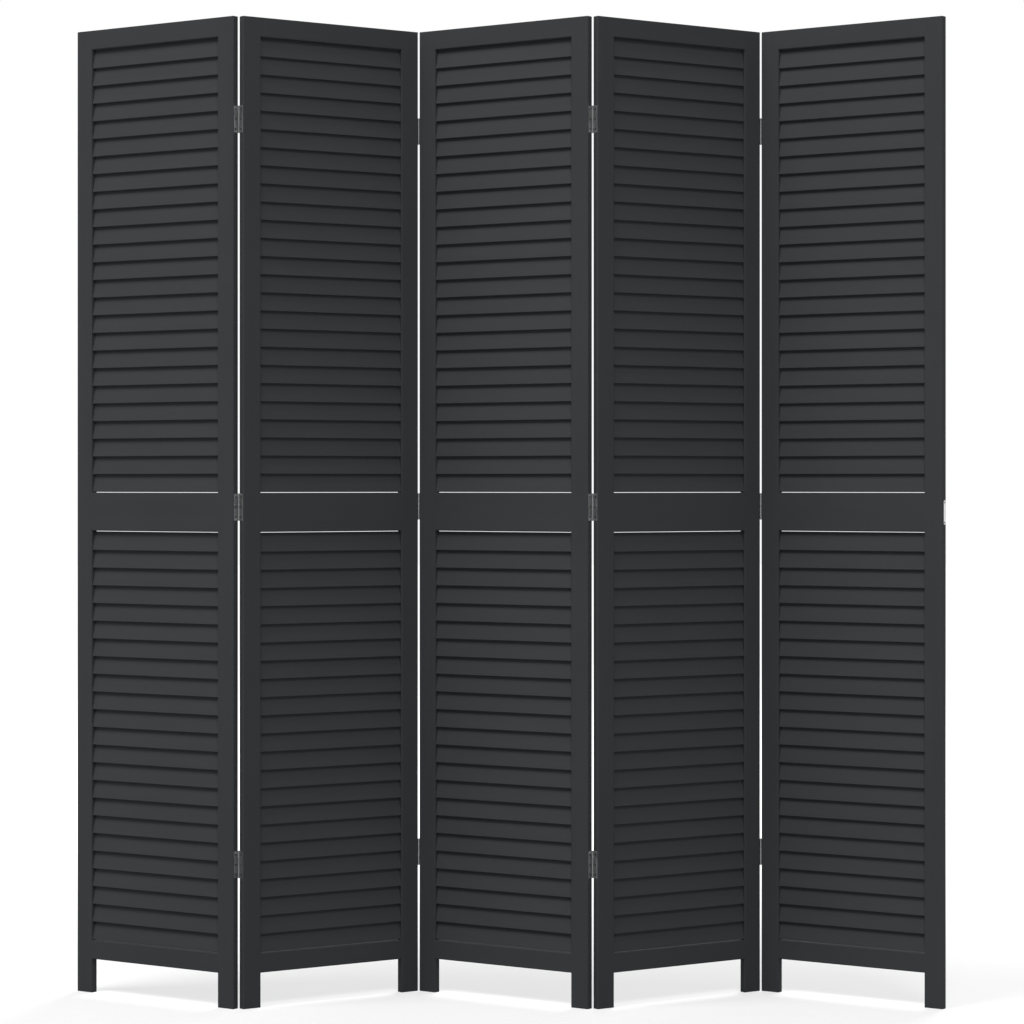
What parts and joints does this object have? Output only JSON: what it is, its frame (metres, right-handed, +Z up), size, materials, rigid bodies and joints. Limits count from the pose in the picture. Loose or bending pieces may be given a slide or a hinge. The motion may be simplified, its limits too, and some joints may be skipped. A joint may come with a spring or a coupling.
{
  "type": "folding screen",
  "caption": "Free-standing folding screen of louvred wooden panels hinged edge to edge; it stands in a zigzag, opens flat or folds into a flat stack.",
  "frame": {"origin": "on the floor under the middle of panel 3, which is the middle of the whole screen", "axes": "+Z up; the front that the picture shows looks along -Y; +X runs from panel 1 to panel 5"},
  "size_m": [1.4778, 0.2094, 1.66],
  "materials": {
    "frame_paint": "light solid wood under matte charcoal paint, faint grain",
    "slat_paint": "light solid wood under matte charcoal paint, faint grain",
    "hinge_steel": "dull zinc-plated sheet steel",
    "pin_steel": "dull steel wire",
    "screw_steel": "darkened steel",
    "plate_steel": "bright nickel-plated steel"
  },
  "bodies": {
    "panel_1": {"panel_1_left_stile": "frame_paint", "panel_1_right_stile": "frame_paint", "panel_1_bottom_rail": "frame_paint", "panel_1_middle_rail": "frame_paint", "panel_1_top_rail": "frame_paint", "panel_1_upper_slats": "slat_paint", "panel_1_lower_slats": "slat_paint", "hinge_1_2_left_leaves": "hinge_steel", "hinge_1_2_left_screws": "screw_steel", "hinge_1_2_pins": "pin_steel"},
    "panel_2": {"panel_2_left_stile": "frame_paint", "panel_2_right_stile": "frame_paint", "panel_2_bottom_rail": "frame_paint", "panel_2_middle_rail": "frame_paint", "panel_2_top_rail": "frame_paint", "panel_2_upper_slats": "slat_paint", "panel_2_lower_slats": "slat_paint", "hinge_2_3_left_leaves": "hinge_steel", "hinge_2_3_left_screws": "screw_steel", "hinge_2_3_pins": "pin_steel", "hinge_1_2_right_leaves": "hinge_steel", "hinge_1_2_right_screws": "screw_steel"},
    "panel_3": {"panel_3_left_stile": "frame_paint", "panel_3_right_stile": "frame_paint", "panel_3_bottom_rail": "frame_paint", "panel_3_middle_rail": "frame_paint", "panel_3_top_rail": "frame_paint", "panel_3_upper_slats": "slat_paint", "panel_3_lower_slats": "slat_paint", "hinge_3_4_left_leaves": "hinge_steel", "hinge_3_4_left_screws": "screw_steel", "hinge_3_4_pins": "pin_steel", "hinge_2_3_right_leaves": "hinge_steel", "hinge_2_3_right_screws": "screw_steel"},
    "panel_4": {"panel_4_left_stile": "frame_paint", "panel_4_right_stile": "frame_paint", "panel_4_bottom_rail": "frame_paint", "panel_4_middle_rail": "frame_paint", "panel_4_top_rail": "frame_paint", "panel_4_upper_slats": "slat_paint", "panel_4_lower_slats": "slat_paint", "hinge_4_5_left_leaves": "hinge_steel", "hinge_4_5_left_screws": "screw_steel", "hinge_4_5_pins": "pin_steel", "hinge_3_4_right_leaves": "hinge_steel", "hinge_3_4_right_screws": "screw_steel"},
    "panel_5": {"panel_5_left_stile": "frame_paint", "panel_5_right_stile": "frame_paint", "panel_5_bottom_rail": "frame_paint", "panel_5_middle_rail": "frame_paint", "panel_5_top_rail": "frame_paint", "panel_5_upper_slats": "slat_paint", "panel_5_lower_slats": "slat_paint", "hinge_4_5_right_leaves": "hinge_steel", "hinge_4_5_right_screws": "screw_steel", "edge_plate": "plate_steel", "edge_plate_screws": "screw_steel"}
  },
  "joints": [
    {"name": "fold_2_3", "type": "hinge", "parent": "panel_3", "child": "panel_2", "pos_m": [-0.14808, 0.09444, 0.83], "axis": [0, 0, -1], "range_deg": [-110.25, 69.75]},
    {"name": "fold_3_4", "type": "hinge", "parent": "panel_3", "child": "panel_4", "pos_m": [0.14808, -0.09444, 0.83], "axis": [0, 0, -1], "range_deg": [-110.25, 69.75]},
    {"name": "fold_1_2", "type": "hinge", "parent": "panel_2", "child": "panel_1", "pos_m": [-0.44425, -0.09444, 0.83], "axis": [0, 0, 1], "range_deg": [-110.25, 69.75]},
    {"name": "fold_4_5", "type": "hinge", "parent": "panel_4", "child": "panel_5", "pos_m": [0.44425, 0.09444, 0.83], "axis": [0, 0, 1], "range_deg": [-110.25, 69.75]}
  ],
  "couplings": [
    {"joint": "fold_3_4", "follows": "fold_2_3", "ratio": 1}
  ]
}
